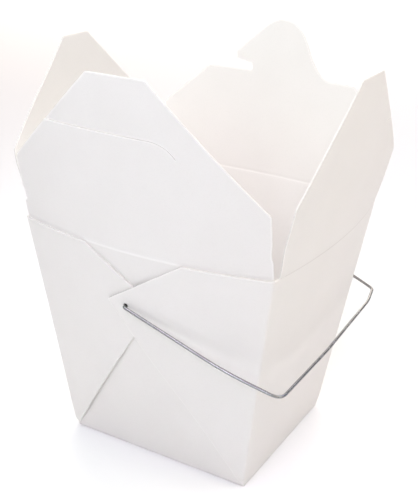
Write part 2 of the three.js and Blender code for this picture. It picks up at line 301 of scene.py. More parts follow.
def triangles(loops, extra):
    """Triangles inside the first loop and outside the others, also on the extra points."""
    points, edges = [], []
    for loop in loops:
        base = len(points)
        points += [Vector(p) for p in loop]
        edges += [(base + i, base + (i + 1) % len(loop)) for i in range(len(loop))]
    points += [Vector(p) for p in extra]
    found, _, faces, *_ = delaunay_2d_cdt(points, edges, [], 0, MERGE)
    flat = np.array([tuple(p) for p in found])
    faces = np.array([f for f in faces if len(f) == 3])
    middle = flat[faces].mean(axis=1)
    a, b, c = (flat[faces[:, i]] for i in range(3))
    longest = np.max([np.hypot(*(q - p).T) for p, q in ((a, b), (b, c), (c, a))], axis=0)
    broad = np.abs(doubled_area(a, b, c)) > SLIVER * longest
    keep = inside(middle, np.array(loops[0])) & broad
    for cut in loops[1:]:
        keep &= ~inside(middle, np.array(cut))
    faces = faces[keep]
    turned = doubled_area(*(flat[faces[:, i]] for i in range(3))) < 0
    faces[turned] = faces[turned][:, ::-1]
    used = np.unique(faces)
    return flat[used], np.searchsorted(used, faces)


def subdivided(loop, step):
    """A closed loop with no run longer than step."""
    result = []
    for i, p in enumerate(loop):
        q = loop[(i + 1) % len(loop)]
        count = max(1, math.ceil(math.hypot(q[0] - p[0], q[1] - p[1]) / step))
        for j in range(count):
            k = j / count
            result.append((p[0] + (q[0] - p[0]) * k, p[1] + (q[1] - p[1]) * k))
    return result


def scored(from_score, from_cut):
    """The distance from the nearest cut, or the mark of a score line's painted shade, which is
    strongest on the line.
    """
    mark = SCORED + 1 - from_score / SCORE_WIDTH
    return np.where(from_score < SCORE_WIDTH, mark, np.minimum(from_cut, FAR))


def placed(name, data):
    """A new object in the scene."""
    made = bpy.data.objects.new(name, data)
    bpy.context.scene.collection.objects.link(made)
    return made


def finished(raw, name, smooth):
    """A plain smooth-shaded piece, in place of an object with live modifiers."""
    bpy.context.view_layer.update()
    evaluated = raw.evaluated_get(bpy.context.evaluated_depsgraph_get())
    mesh = bpy.data.meshes.new_from_object(evaluated)
    bpy.data.objects.remove(raw)
    mesh.name = name
    mesh.polygons.foreach_set("use_smooth", [True] * len(mesh.polygons))
    mesh.set_sharp_from_angle(angle=math.radians(smooth))
    return placed(name, mesh)


def sheet_object(name, points, faces, cut_distance, board):
    """A piece of board from its middle surface, with its thickness and its cut edges."""
    mesh = bpy.data.meshes.new(name + "_middle")
    mesh.from_pydata((np.asarray(points) * MM).tolist(), [], [tuple(map(int, f)) for f in faces])
    far = mesh.attributes.new("cut_distance", "FLOAT", "POINT")
    far.data.foreach_set("value", np.asarray(cut_distance, np.float32))
    bm = bmesh.new()
    bm.from_mesh(mesh)
    bmesh.ops.remove_doubles(bm, verts=bm.verts, dist=WELD)
    loose = [v for v in bm.verts if not v.link_faces]
    bmesh.ops.delete(bm, geom=loose, context="VERTS")
    bm.to_mesh(mesh)
    bm.free()
    raw = placed(name + "_middle", mesh)
    mesh.materials.append(material("coated_board", coated_board))
    mesh.materials.append(material("board_cut_edge", board_cut_edge))
    wall = raw.modifiers.new("thickness", "SOLIDIFY")
    wall.thickness = board.thickness
    wall.offset = 0
    wall.material_offset_rim = 1
    wall.use_quality_normals = True
    piece = finished(raw, name, BOARD_SMOOTH)
    bpy.data.meshes.remove(mesh)
    return piece


# ---- Materials ----

# Scales of the noises, in turns to the metre, and depths of the bumps, in metres.
CLOUD_SCALE, WAVE_SCALE, FIBRE_SCALE = 55.0, 16.0, 1500.0
FLUFF_SCALE, PATCH_SCALE = 2600.0, 220.0
WAVE_DEPTH, FIBRE_DEPTH, FLUFF_DEPTH, STREAK_DEPTH = 0.0006, 0.00002, 0.00004, 0.00002
STREAKS_AROUND, STREAKS_ALONG = 26.0, 90.0
MARGIN = (0.15, 0.7)  # the painted highlight along a cut or crease begins to fade and is gone at these distances from it


def material(name, fill):
    """The material of a name. At first use, fill adds its nodes and sets its shader's inputs."""
    made = bpy.data.materials.get(name)
    if made is None:
        made = bpy.data.materials.new(name)
        made.use_nodes = True
        nodes, link = made.node_tree.nodes, made.node_tree.links.new
        nodes.clear()
        out = nodes.new("ShaderNodeOutputMaterial")
        shader = nodes.new("ShaderNodeBsdfPrincipled")
        link(shader.outputs[0], out.inputs[0])
        fill(SimpleNamespace(new=nodes.new, link=link, put=shader.inputs))
    return made


def attribute(m, name):
    node = m.new("ShaderNodeAttribute")
    node.attribute_name = name
    return node.outputs["Fac"]


def noise(m, source, scale, detail, roughness=0.5):
    node = m.new("ShaderNodeTexNoise")
    node.inputs["Scale"].default_value = scale
    node.inputs["Detail"].default_value = detail
    node.inputs["Roughness"].default_value = roughness
    m.link(source, node.inputs["Vector"])
    return node.outputs["Fac"]


def spread(m, value, low=0.3, high=0.7, to_low=0.0, to_high=1.0):
    """Takes a value from one range to another, held at its ends."""
    node = m.new("ShaderNodeMapRange")
    names = ("From Min", "From Max", "To Min", "To Max")
    for socket, number in zip(names, (low, high, to_low, to_high)):
        node.inputs[socket].default_value = number
    m.link(value, node.inputs["Value"])
    return node.outputs["Result"]


def blended(m, factor, first, second):
    """Goes from the first colour to the second with a factor. Each may be a socket or a colour."""
    node = m.new("ShaderNodeMix")
    node.data_type = "RGBA"
    m.link(factor, node.inputs["Factor"])
    for socket, tone in ((node.inputs[6], first), (node.inputs[7], second)):
        if isinstance(tone, bpy.types.NodeSocket):
            m.link(tone, socket)
        else:
            socket.default_value = (*tone, 1.0)
    return node.outputs[2]


def bumped(m, height, depth, strength, under=None):
    node = m.new("ShaderNodeBump")
    node.inputs["Distance"].default_value = depth
    node.inputs["Strength"].default_value = strength
    m.link(height, node.inputs["Height"])
    if under is not None:
        m.link(under, node.inputs["Normal"])
    return node.outputs["Normal"]


def coated_board(m):
    """White board: faint mottle, fine fibre grain, painted highlight along cuts and creases,
    painted shade on scores.
    """
    board = bpy.context.scene.pail_board
    place = m.new("ShaderNodeTexCoord").outputs["Object"]
    cloud = noise(m, place, CLOUD_SCALE, 3.0)
    fibre = noise(m, place, FIBRE_SCALE, 4.0, 0.6)
    wave = noise(m, place, WAVE_SCALE, 1.0)
    tone = blended(m, spread(m, cloud), board.face_colour, board.mottle_colour)
    fleck = spread(m, fibre, 0.25, 0.5, 0.35, 0.0)
    tone = blended(m, fleck, tone, board.fibre_colour)
    cut = attribute(m, "cut_distance")
    # Painted highlight: a pale margin along cuts and creases, standing in for light caught on their
    # rounded edges
    tone = blended(m, spread(m, cut, *MARGIN, 0.7, 0.0), tone, board.edge_colour)
    # Painted shade: a dark line on the score, standing in for the shadow in its groove
    tone = blended(m, spread(m, cut, SCORED, SCORED + 1), tone, board.score_colour)
    m.link(tone, m.put["Base Color"])
    m.link(spread(m, fibre, 0.3, 0.7, 0.5, 0.64), m.put["Roughness"])
    grain = bumped(m, fibre, FIBRE_DEPTH, board.grain)
    m.link(bumped(m, wave, WAVE_DEPTH, 0.35, grain), m.put["Normal"])
    m.put["Specular IOR Level"].default_value = 0.35


def board_cut_edge(m):
    """The board's core where it is cut: raw, rougher and a touch warmer."""
    board = bpy.context.scene.pail_board
    place = m.new("ShaderNodeTexCoord").outputs["Object"]
    fluff = noise(m, place, FLUFF_SCALE, 3.0, 0.7)
    tone = blended(m, spread(m, fluff), board.core_colour, board.core_dark_colour)
    m.link(tone, m.put["Base Color"])
    m.link(spread(m, fluff, 0.3, 0.7, 0.75, 0.9), m.put["Roughness"])
    m.link(bumped(m, fluff, FLUFF_DEPTH, 0.5), m.put["Normal"])
    m.put["Specular IOR Level"].default_value = 0.2


def drawn_steel_wire(m):
    """Steel wire: fine streaks along its length and a slightly uneven polish."""
    wire = bpy.context.scene.pail_wire
    around, along = attribute(m, "around_wire"), attribute(m, "along_wire")
    spot = m.new("ShaderNodeCombineXYZ")
    m.link(spread(m, around, 0.0, 1.0, 0.0, STREAKS_AROUND), spot.inputs["X"])
    m.link(spread(m, along, 0.0, 1.0, 0.0, STREAKS_ALONG), spot.inputs["Y"])
    streak = noise(m, spot.outputs[0], 1.0, 4.0, 0.6)
    place = m.new("ShaderNodeTexCoord").outputs["Object"]
    patch = noise(m, place, PATCH_SCALE, 3.0)
    tone = blended(m, spread(m, streak), wire.steel_colour, wire.streak_colour)
    m.link(tone, m.put["Base Color"])
    polish = spread(m, patch, 0.3, 0.7, wire.roughness - 0.06, wire.roughness + 0.1)
    m.link(polish, m.put["Roughness"])
    m.link(bumped(m, streak, STREAK_DEPTH, 0.4), m.put["Normal"])
    m.put["Metallic"].default_value = 1.0


def pale_floor(m):
    m.put["Base Color"].default_value = (*bpy.context.scene.pail_stage.floor_colour, 1.0)
    m.put["Roughness"].default_value = 0.9


# ---- Carton ----

WALL_COLUMNS = 44
FLANK_COLUMNS = 34
LAYER_COLUMNS = 26
CROWDING = 1.4  # draws the columns of a layer together towards its fold
FOLD_STEPS = 6
CORNER_STEPS = 6
HOLE_PATCH = 3.4  # faces this near to a hole's middle give way to new ones
HOLE_RING = 1.7  # radius of the ring of points between the hole and the patch's edge
HOLE_STEPS = 28
FLOOR_SPACING, FLOOR_CLEAR = 4.0, 2.5
LEVELS = (1.9, 2.4, 3, 3.8, 4.8, 6, 7.5, 9.5, *range(12, 101, 3), 102.5, 103.7, 104, 104.3, 104.6)
LEVEL_CLEAR = 0.25  # a level this near to a height that has to be exact is left out
PAST_CORNER = 60  # a place along a wall that is past its corner


def half_turn(side, gusset, a, way, low, high, z):
    """A hairpin fold from one distance off the wall to another, without its two end points."""
    points = []
    for i in range(1, FOLD_STEPS):
        phi = math.pi * i / FOLD_STEPS
        out = way * gusset.hand * (high - low) / 2 * math.sin(phi)
        offset = (low + high) / 2 - (high - low) / 2 * math.cos(phi)
        points.append(wall_point(side, a + out, z, offset))
    return points


def pocket(side, gusset, z):
    """A gusset's section at a height, from the wall's edge round its two layers to the corner."""
    start = corner_start(z)
    edge = gusset_edge(gusset, z)
    if z <= fold_end(gusset)[1]:
        low, high = layer_offsets(gusset, gusset.hand * edge, z)
        edge = min(start, edge + float(high - low) / 2)
    across = edge + (start - edge) * np.linspace(0, 1, LAYER_COLUMNS + 1) ** CROWDING
    across = gusset.hand * across
    inner, outer = layer_offsets(gusset, across, z)
    at_wall = half_turn(side, gusset, across[-1], 1, -SHEET / 2, inner[-1], z)
    at_fold = half_turn(side, gusset, across[0], -1, inner[0], outer[0], z)
    under = list(wall_point(side, across, z, inner))[::-1]
    return at_wall + under + at_fold + list(wall_point(side, across, z, outer))


def quarter(side, gusset, z, offset, flank_end):
    """The rounded corner from a layer to the flank, without its two end points."""
    a = gusset.hand * corner_start(z)
    first = wall_point(side, a, z, offset)
    sharp = wall_point(side, a + gusset.hand * CORNER_FOLD, z, offset)
    return [bend(first, sharp, flank_end, i / CORNER_STEPS) for i in range(1, CORNER_STEPS)]


def carton_row(z, inset):
    """One turn round the sheet. Below the gussets, a pocket is its wall's end point repeated."""
    out = -SHEET / 2 - inset
    start = corner_start(z)
    depth = mix(HALF_DEPTHS, z / HEIGHT) - CORNER_FOLD
    across = np.linspace(-start, start, WALL_COLUMNS + 1)
    walls = {s.name: list(wall_point(s, across, z, out)) for s in (FRONT, BACK)}
    row = walls["front"]
    for flank, gusset, sides in ((RIGHT, UPPER, (FRONT, BACK)), (LEFT, LOWER, (BACK, FRONT))):
        end = float(layer_offsets(gusset, gusset.hand * start, z)[1]) if z > APEX else out
        reach = -gusset.hand * (depth + end)
        panel = list(wall_point(flank, np.linspace(reach, -reach, FLANK_COLUMNS + 1), z, out))
        if z > APEX:
            folds = [pocket(s, gusset, z) for s in sides]
        else:
            folds = [[walls[s.name][-1 if gusset is UPPER else 0]] * pocket_size() for s in sides]
        corners = [quarter(s, gusset, z, end, p) for s, p in zip(sides, (panel[0], panel[-1]))]
        row = row + folds[0] + corners[0] + panel + corners[1][::-1] + folds[1][::-1]
        if flank is RIGHT:
            row = row + walls["back"][::-1]
    return row


def pocket_size():
    """How many points pocket makes."""
    return 2 * (FOLD_STEPS - 1) + 2 * (LAYER_COLUMNS + 1)


def carton_runs():
    """What lies between each point of a row and the next: the part, its wall and its gusset."""
    folds, layers = FOLD_STEPS, LAYER_COLUMNS
    parts = (("hem", folds), ("inner", layers), ("fold", folds), ("outer", layers))
    runs = [("wall", FRONT, None)] * WALL_COLUMNS
    for gusset, sides in ((UPPER, (FRONT, BACK)), (LOWER, (BACK, FRONT))):
        turns = [[(p, s, gusset) for p, n in parts for _ in range(n)] for s in sides]
        turns = [t + [("corner", s, gusset)] * CORNER_STEPS for t, s in zip(turns, sides)]
        runs += turns[0] + [("flank", None, None)] * FLANK_COLUMNS + turns[1][::-1]
        if gusset is UPPER:
            runs += [("wall", BACK, None)] * WALL_COLUMNS
    return runs


def carton_levels():
    """Heights of the rows, each with how far the base fold draws the sheet in."""
    levels = []
    for i in range(FOLD_STEPS + 1):
        turn = math.pi / 2 * i / FOLD_STEPS
        rise, inset = BASE_FOLD * (1 - math.cos(turn)), BASE_FOLD * (1 - math.sin(turn))
        levels.append((SHEET / 2 + rise, inset))
    tips = [z for gusset in (LOWER, UPPER) for z in (fold_end(gusset)[1], gusset.tip)]
    exact = tips + [INNER_TOP, GUSSET_TOP, HEIGHT]
    heights = exact + [z for z in LEVELS if all(abs(z - e) > LEVEL_CLEAR for e in exact)]
    return levels + [(APEX, 0.0)] + [(z, 0.0) for z in sorted(heights)]


def is_open(run, z):
    """Whether the sheet is cut away above a height."""
    part, _, gusset = run
    tops = {"hem": INNER_TOP, "inner": INNER_TOP, "outer": GUSSET_TOP}
    top = fold_end(gusset)[1] if part == "fold" else tops.get(part, HEIGHT)
    return z > top - 1e-6


def hole_circle(radius):
    """A circle of points round the middle of the bail's hole."""
    turns = (2 * math.pi * i / HOLE_STEPS for i in range(HOLE_STEPS))
    return [(HOLE[0] + radius * math.cos(p), HOLE[1] + radius * math.sin(p)) for p in turns]


def pierce(points, faces, runs_of, run):
    """Cuts the bail's hole in one layer, whose faces near it give way to new ones round it."""
    part, side, gusset = run
    near = []
    for i, face in enumerate(faces):
        if runs_of[i] == run:
            middle = np.mean([points[v] for v in face], axis=0)
            if math.hypot(middle[0] - HOLE[0], middle[2] - HOLE[1]) < HOLE_PATCH:
                near.append(i)
    steps = [step for i in near for step in zip(faces[i], faces[i][1:] + faces[i][:1])]
    both_ways = set(steps)
    rim = {a: b for a, b in steps if (b, a) not in both_ways}
    loop = [next(iter(rim))]
    while rim[loop[-1]] != loop[0]:
        loop.append(rim[loop[-1]])
    flat_loop = [(points[v][0], points[v][2]) for v in loop]
    flat, cells = triangles([flat_loop, hole_circle(HOLE_RADIUS)], hole_circle(HOLE_RING))
    if part == "wall":
        offsets = np.full(len(flat), -SHEET / 2)
    else:
        offsets = layer_offsets(gusset, flat[:, 0], flat[:, 1])[part == "outer"]
    lifted = wall_point(side, flat[:, 0], flat[:, 1], offsets)
    known = {v: np.array(p) for v, p in zip(loop, flat_loop)}
    ids = []
    for p, q in zip(flat, lifted):
        same = [v for v, r in known.items() if math.hypot(*(r - p)) < 1e-3]
        if same:
            ids.append(same[0])
        else:
            ids.append(len(points))
            points.append(q)
    first = faces[near[0]]
    a, b, c = (points[v] for v in first[:3])
    facing = np.cross(b - a, c - b)[1] < 0  # a cell drawn counter-clockwise in x and z faces -Y
    for i in sorted(near, reverse=True):
        del faces[i], runs_of[i]
    for cell in cells:
        face = [ids[v] for v in cell]
        faces.append(face if facing else face[::-1])
        runs_of.append(run)


def carton_cuts(points, faces, runs_of):
    """Each point's distance from the mouth or its gusset's edges, with the painted shade of the
    right side's score.
    """
    far = HEIGHT - points[:, 2]
    for side in (FRONT, BACK):
        for gusset in (LOWER, UPPER):
            fold = [(corner_start(APEX), APEX), fold_end(gusset), (-gusset.past, gusset.tip)]
            line = np.array([*fold, (GUSSET_TOP_END, GUSSET_TOP), (PAST_CORNER, GUSSET_TOP)])
            own = [f for f, run in zip(faces, runs_of) if run[1] is side and run[2] is gusset]
            mine = sorted({v for face in own for v in face})
            flat = points[mine][:, ::2] * (gusset.hand, 1)
            far[mine] = np.minimum(far[mine], distance(flat, line[:-1], line[1:]))
    # The right side's mouth crease gets painted shade on its score; elsewhere the distance feeds
    # the painted highlight
    on_right = points[:, 0] > HALF_WIDTHS[1] + 0.2  # true only near the mouth
    return np.where(on_right, scored(HEIGHT - points[:, 2], np.inf), np.minimum(far, FAR))


def carton_sheet():
    """The middle surface of the floor, walls and gussets, all one folded sheet."""
    points, rows = [], []
    for z, inset in carton_levels():
        turn, known = carton_row(z, inset), {}
        for p in turn:
            if id(p) not in known:
                known[id(p)] = len(points)
                points.append(p)
        rows.append([known[id(p)] for p in turn])
    runs = carton_runs()
    faces, runs_of = [], []
    levels = [z for z, _ in carton_levels()]
    for z, low, high in zip(levels, rows, rows[1:]):
        for i, run in enumerate(runs):
            if is_open(run, z):
                continue
            j = (i + 1) % len(low)
            face = list(dict.fromkeys((low[i], low[j], high[j], high[i])))
            if len(face) > 2:
                faces.append(face)
                runs_of.append(run)
    layers = [(part, gusset) for gusset in (LOWER, UPPER) for part in ("inner", "outer")]
    for side in (FRONT, BACK):
        for part, gusset in [("wall", None), *layers]:
            pierce(points, faces, runs_of, (part, side, gusset))
    rim = list(dict.fromkeys(rows[0]))
    loop = [(points[v][0], points[v][1]) for v in rim]
    flat, cells = triangles([loop], inner_points([loop], FLOOR_SPACING, FLOOR_CLEAR))
    base = len(points)
    points += [np.array([x, y, SHEET / 2]) for x, y in flat]
    faces += [[base + v for v in cell[::-1]] for cell in cells]
    points = np.array(points)
    return points, faces, carton_cuts(points, faces, runs_of)


# ---- Flaps ----

FOLD_ROWS = (0.35, 0.7, 1.1, 1.6, 2.2, 2.9, 3.7, 4.6, 5.6)  # flap heights where its bend has points
EDGE_STEP = 1.7  # spacing of the points along outlines and rows
MARGIN_ROWS = (0.8, 1.9)  # points follow a cut at these distances
MARGIN_CLEAR = 0.74
FOLD_CLEAR = 0.5
FLAP_SPACING = 2.6  # of the points further in, and how far they keep from a cut
MARGIN_FROM, FIELD_FROM = 6.4, 7.2  # flap heights where those points begin
SHOULDER_CUT = 1.6  # how much of each run gives way to a flap's rounded shoulder
CORNER_ROUND = 0.9
STRAIGHT_ON = math.radians(165)  # an outline that turns no sharper than this has no corner
ROW_RATIO = 0.87  # rows of a staggered field lie closer than its points

# Upright edges of the flaps, as pairs of height and bite.
NOTCHED = [(0, 0), (7.8, 0), (9, 1.6), (12, 1.6), (15, 0.2)]
NICKED = [(0, 0), (7.8, 0), (9.5, 0.45), (12, 0.5), (15, 0.1)]
STRAIGHT = [(0, 0.5), (6, 0.3), (14, 0.1)]
WAISTED = [(0, 0.6), (5, 1.3), (10, 1.5), (15, 1), (21, 0)]


def bezier(*corners, steps=10):
    """Points of a cubic curve, from its four control points."""
    a, b, c, d = (np.array(p, float) for p in corners)
    points = []
    for k in np.linspace(0, 1, steps + 1):
        near, far = (1 - k) ** 3 * a + 3 * k * (1 - k) ** 2 * b, 3 * k * k * (1 - k) * c
        points.append(tuple(near + far + k**3 * d))
    return points


def softened(loop, radius):
    """A closed outline with its sharp corners slightly rounded, apart from those on the crease."""
    result = []
    for i, p in enumerate(loop):
        before, p, after = (np.array(q, float) for q in (loop[i - 1], p, loop[(i + 1) % len(loop)]))
        back, on = before - p, after - p
        short = min(radius, 0.45 * np.hypot(*back), 0.45 * np.hypot(*on))
        turn = abs(math.atan2(back[0] * on[1] - back[1] * on[0], back @ on))
        if p[1] < 1e-6 or turn > STRAIGHT_ON or short < 0.1:
            result.append(tuple(p))
            continue
        a, b = p + back / np.hypot(*back) * short, p + on / np.hypot(*on) * short
        result += [tuple(bend(a, p, b, k)) for k in (0, 0.25, 0.5, 0.75, 1)]
    return result


def inner_points(loops, spacing, clear):
    """A staggered field of points inside the first loop and clear of every loop."""
    outline = np.array(loops[0])
    low, high = outline.min(axis=0), outline.max(axis=0)
    field = []
    for j, y in enumerate(np.arange(low[1] + clear, high[1], spacing * ROW_RATIO)):
        field += [(x, y) for x in np.arange(low[0] + (j % 2) * spacing / 2, high[0], spacing)]
    field = np.array(field)
    field = field[inside(field, outline)]
    return [tuple(p) for p in field[distance(field, *straight_runs(loops)) > clear]]


def flap_edge(side, inset, shoulder, top_half, top, upright):
    """One half of an outline: an upright edge, a rounded shoulder and a chamfer up to the top."""
    edge = side.half[1] - inset
    run, rise = edge - top_half, top - shoulder
    slant = math.hypot(run, rise) / SHOULDER_CUT
    half = [(edge - bite, h) for h, bite in upright]
    half += [(edge, shoulder - SHOULDER_CUT), (edge, shoulder)]
    return half + [(edge - run / slant, shoulder + rise / slant), (top_half, top)]


def flap_outline(right, left, crown=()):
    """An outline from its two halves, both given as if on the right, and a crown between them."""
    return softened(right + list(crown) + [(-x, h) for x, h in reversed(left)], CORNER_ROUND)


def slot(line, width):
    """A narrow closed loop round a line of points."""
    line = [np.array(p, float) for p in line]
    sides = ([], [])
    for i, p in enumerate(line):
        way = line[min(i + 1, len(line) - 1)] - line[max(i - 1, 0)]
        across = np.array([-way[1], way[0]]) / np.hypot(*way) * width / 2
        sides[0].append(tuple(p + across))
        sides[1].append(tuple(p - across))
    return sides[0] + sides[1][::-1]


# The hook tab's outline from right to left, in the back flap's own plane.
HOOK = [
    *bezier((26.8, 48.0), (22.6, 48.1), (18.6, 53.5), (16, 58.5)),
    *bezier((16, 58.5), (13, 65), (9.6, 72.9), (0.8, 72.9))[1:],
    *bezier((0.8, 72.9), (-2.6, 72.9), (-6, 71.2), (-10.4, 67.1))[1:],
    (-20.9, 57.1), (-21.6, 56.1), (-21.4, 53), (-20.7, 52.6), (-13.1, 51.4), (-13.1, 48.0),
]
SLIT_END = 22.5
SLIT_CURVE = bezier((11.5, 49.1), (16.2, 49.1), (20.2, 47.0), (SLIT_END, 43.6), steps=12)
LOCKING_SLIT = [(-57.5, 49.1), *SLIT_CURVE]
EDGE_SLIT = [(26.4, 44.6), (50, 44.6)]
SPRUNG = 0.5  # the front flap springs back by this above its locking slit
SPRUNG_FROM = -8  # in full up to here, and not at all at the slit's end
SPRUNG_FADE = 16  # and dying away over this height

# Each flap's name, side, body and CAD node, the numbers of its outline's right and left half, the
# crown between them and the lines of its slits.
FLAPS = (
    ("lid_front", FRONT, "front_lid", "front_flap",
     (0.8, 26.9, 12.1, 71.7, NICKED), (0.8, 28.6, 12.7, 71.5, NOTCHED), (), [LOCKING_SLIT]),
    ("lid_back", BACK, "back_lid", "back_flap",
     (1.1, 28, 39, 48.0, NOTCHED), (1.1, 28, 35.2, 48.0, NOTCHED), HOOK, []),
    ("lid_left", LEFT, "left_lid", "left_flap",
     (1.7, 31.0, 7.3, 67.3, WAISTED), (1.5, 27.0, 9.6, 67.3, WAISTED), (), []),
    ("lid_right", RIGHT, "right_lid", "right_flap",
     (1.7, 27.2, 9.4, 68.8, STRAIGHT), (1.7, 28.2, 11.4, 68.8, STRAIGHT), (), [EDGE_SLIT]),
)


def flap_sheet(side, outline, slits, width):
    """The middle surface of a flap, with the distance of each point from the nearest cut."""
    outline = subdivided(outline, EDGE_STEP)
    loops = [outline, *(subdivided(slot(line, width), EDGE_STEP) for line in slits)]
    starts, ends = straight_runs(loops)
    free = (starts[:, 1] > 1e-6) | (ends[:, 1] > 1e-6)
    margin = []
    for p, q in zip(starts[free], ends[free]):
        way = (q - p) / np.hypot(*(q - p))
        middle = (p + q) / 2
        across = np.array([-way[1], way[0]])
        margin += [middle + s * d * across for s in (1, -1) for d in MARGIN_ROWS]
    margin = np.array(margin)
    margin = margin[inside(margin, np.array(outline)) & (margin[:, 1] > MARGIN_FROM)]
    margin = margin[distance(margin, starts, ends) > MARGIN_CLEAR]
    wide = max(abs(x) for x, _ in outline)
    rows = np.array([(x, h) for h in FOLD_ROWS for x in np.arange(-wide, wide, EDGE_STEP)])
    rows = rows[inside(rows, np.array(outline))]
    rows = rows[distance(rows, starts[free], ends[free]) > FOLD_CLEAR]
    field = np.array(inner_points(loops, FLAP_SPACING, FLAP_SPACING))
    field = field[field[:, 1] > FIELD_FROM]
    flat, cells = triangles(loops, [tuple(p) for p in (*margin, *rows, *field)])
    if np.cross(side.along, Z) @ side.out < 0:
        cells = cells[:, ::-1]
    # A pale side gets a painted highlight along every cut and its crease; the others get painted
    # shade on their score line
    if side.pale:
        far = np.minimum(distance(flat, starts, ends), FAR)
    else:
        far = scored(flat[:, 1], distance(flat, starts[free], ends[free]))
    return flap_point(side, flat[:, 0], flat[:, 1], -SHEET / 2), cells, far


# ---- Bail ----

BAIL_DROP = math.radians(17.5)  # how far below level the bail hangs
HOLE_REACH, HOLE_BELOW = -0.3, 0.5  # where the wire passes its holes, from the bail's axis
FOOT_INSIDE, FOOT_BELOW = 2.2, 5.5  # a foot stands this far inside the wall and ends this far down
ARM_OUTSIDE = 3.7  # an arm starts this far outside the wall
ELBOW_RADIUS, ARM_RADIUS = 1.3, 150.0
PATH_STEP = 0.8
BEND_STEPS = 12
WIRE_SMOOTH = 50  # degrees between faces that still shade as one surface

# The crosspiece's corners from front to back: distance out from the holes, place along Y, radius.
CROSSPIECE = ((71.5, -53.9, 5.5), (71.4, -10, 120.0), (69.3, 42, 45.0), (66.8, 53.8, 3.0))


def bail_point(reach, y, below=0.0):
    """A point of the bail, from its distance out from the holes and its drop below their plane."""
    x = PIVOT[0] + reach * math.cos(BAIL_DROP) - below * math.sin(BAIL_DROP)
    return np.array([x, y, PIVOT[1] - reach * math.sin(BAIL_DROP) - below * math.cos(BAIL_DROP)])


def arm_end(side):
    """The corners of an arm: its foot inside, its pass through the hole and its slight bend."""
    hand = side.out[1]
    wall = float(wall_point(side, PIVOT[0], PIVOT[1], 0.0) @ side.out)
    within, beyond = hand * (wall - SHEET - FOOT_INSIDE), hand * (wall + ARM_OUTSIDE)
    lean = bail_point(49, -57.5, 0.55) if side is FRONT else bail_point(43, 58.5, 0.6)
    return [
        (bail_point(HOLE_REACH, within, FOOT_BELOW), 0.0),
        (bail_point(HOLE_REACH, within, HOLE_BELOW), ELBOW_RADIUS),
        (bail_point(HOLE_REACH, beyond, HOLE_BELOW), ELBOW_RADIUS),
        (lean, ARM_RADIUS),
    ]


def bail_path():
    """The bail's middle line, as closely spaced points."""
    cross = [(bail_point(reach, y), radius) for reach, y, radius in CROSSPIECE]
    corners = arm_end(FRONT) + cross + arm_end(BACK)[::-1]
    path, start = [], corners[0][0]
    for i in range(1, len(corners)):
        point, radius = corners[i]
        arriving = point - corners[i - 1][0]
        arriving /= np.linalg.norm(arriving)
        if i + 1 == len(corners):
            first = last = point
        else:
            leaving = corners[i + 1][0] - point
            leaving /= np.linalg.norm(leaving)
            setback = radius * math.tan(math.acos(np.clip(arriving @ leaving, -1, 1)) / 2)
            first, last = point - arriving * setback, point + leaving * setback
        count = max(1, int(np.linalg.norm(first - start) / PATH_STEP))
        path += [start + (first - start) * k / count for k in range(count)]
        if i + 1 < len(corners):
            path += [bend(first, point, last, k) for k in np.arange(0, 1, 1 / BEND_STEPS)]
        start = last
    return path + [start]


def wire_tree():
    """Sweeps a round wire along a line, and keeps how far along and around each point lies."""
    tree = bpy.data.node_groups.new("Wire Along Path", "GeometryNodeTree")
    add, link = tree.nodes.new, tree.links.new
    socket = tree.interface.new_socket
    kinds = {"Geometry": "Geometry", "Wire Radius": "Float", "Sides": "Int", "Finish": "Material"}
    for label, kind in kinds.items():
        socket(label, in_out="INPUT", socket_type="NodeSocket" + kind)
    socket("Geometry", in_out="OUTPUT", socket_type="NodeSocketGeometry")
    given, made = add("NodeGroupInput"), add("NodeGroupOutput")
    path, ring = add("GeometryNodeMeshToCurve"), add("GeometryNodeCurvePrimitiveCircle")
    sweep = add("GeometryNodeCurveToMesh")
    link(given.outputs["Geometry"], path.inputs["Mesh"])
    link(given.outputs["Wire Radius"], ring.inputs["Radius"])
    link(given.outputs["Sides"], ring.inputs["Resolution"])
    along = ("along_wire", path, "Length", "Curve")
    for label, line, output, role in (along, ("around_wire", ring, "Factor", "Profile Curve")):
        keep, measure = add("GeometryNodeStoreNamedAttribute"), add("GeometryNodeSplineParameter")
        keep.data_type, keep.domain = "FLOAT", "POINT"
        keep.inputs["Name"].default_value = label
        link(line.outputs["Curve"], keep.inputs["Geometry"])
        link(measure.outputs[output], keep.inputs["Value"])
        link(keep.outputs["Geometry"], sweep.inputs[role])
    sweep.inputs["Fill Caps"].default_value = True
    real, finish = add("GeometryNodeRealizeInstances"), add("GeometryNodeSetMaterial")
    link(sweep.outputs["Mesh"], real.inputs["Geometry"])
    link(real.outputs["Geometry"], finish.inputs["Geometry"])
    link(given.outputs["Finish"], finish.inputs["Material"])
    link(finish.outputs["Geometry"], made.inputs["Geometry"])
    return tree


def set_input(modifier, label, value):
    """Sets a named input of a modifier's node tree, by the identifier of its socket."""
    for item in modifier.node_group.interface.items_tree:
        if item.item_type == "SOCKET" and item.in_out == "INPUT" and item.name == label:
            modifier[item.identifier] = value
            return
    raise KeyError(label)


# ---- Settings ----


def length(name, description, default, low, high):
    """A setting in metres."""
    return FloatProperty(
        name=name, description=description, default=default,
        min=low, max=high, precision=5, unit="LENGTH",
    )


def colour(name, description, default):
    return FloatVectorProperty(
        name=name, description=description, default=default, size=3, min=0, max=1, subtype="COLOR",
    )


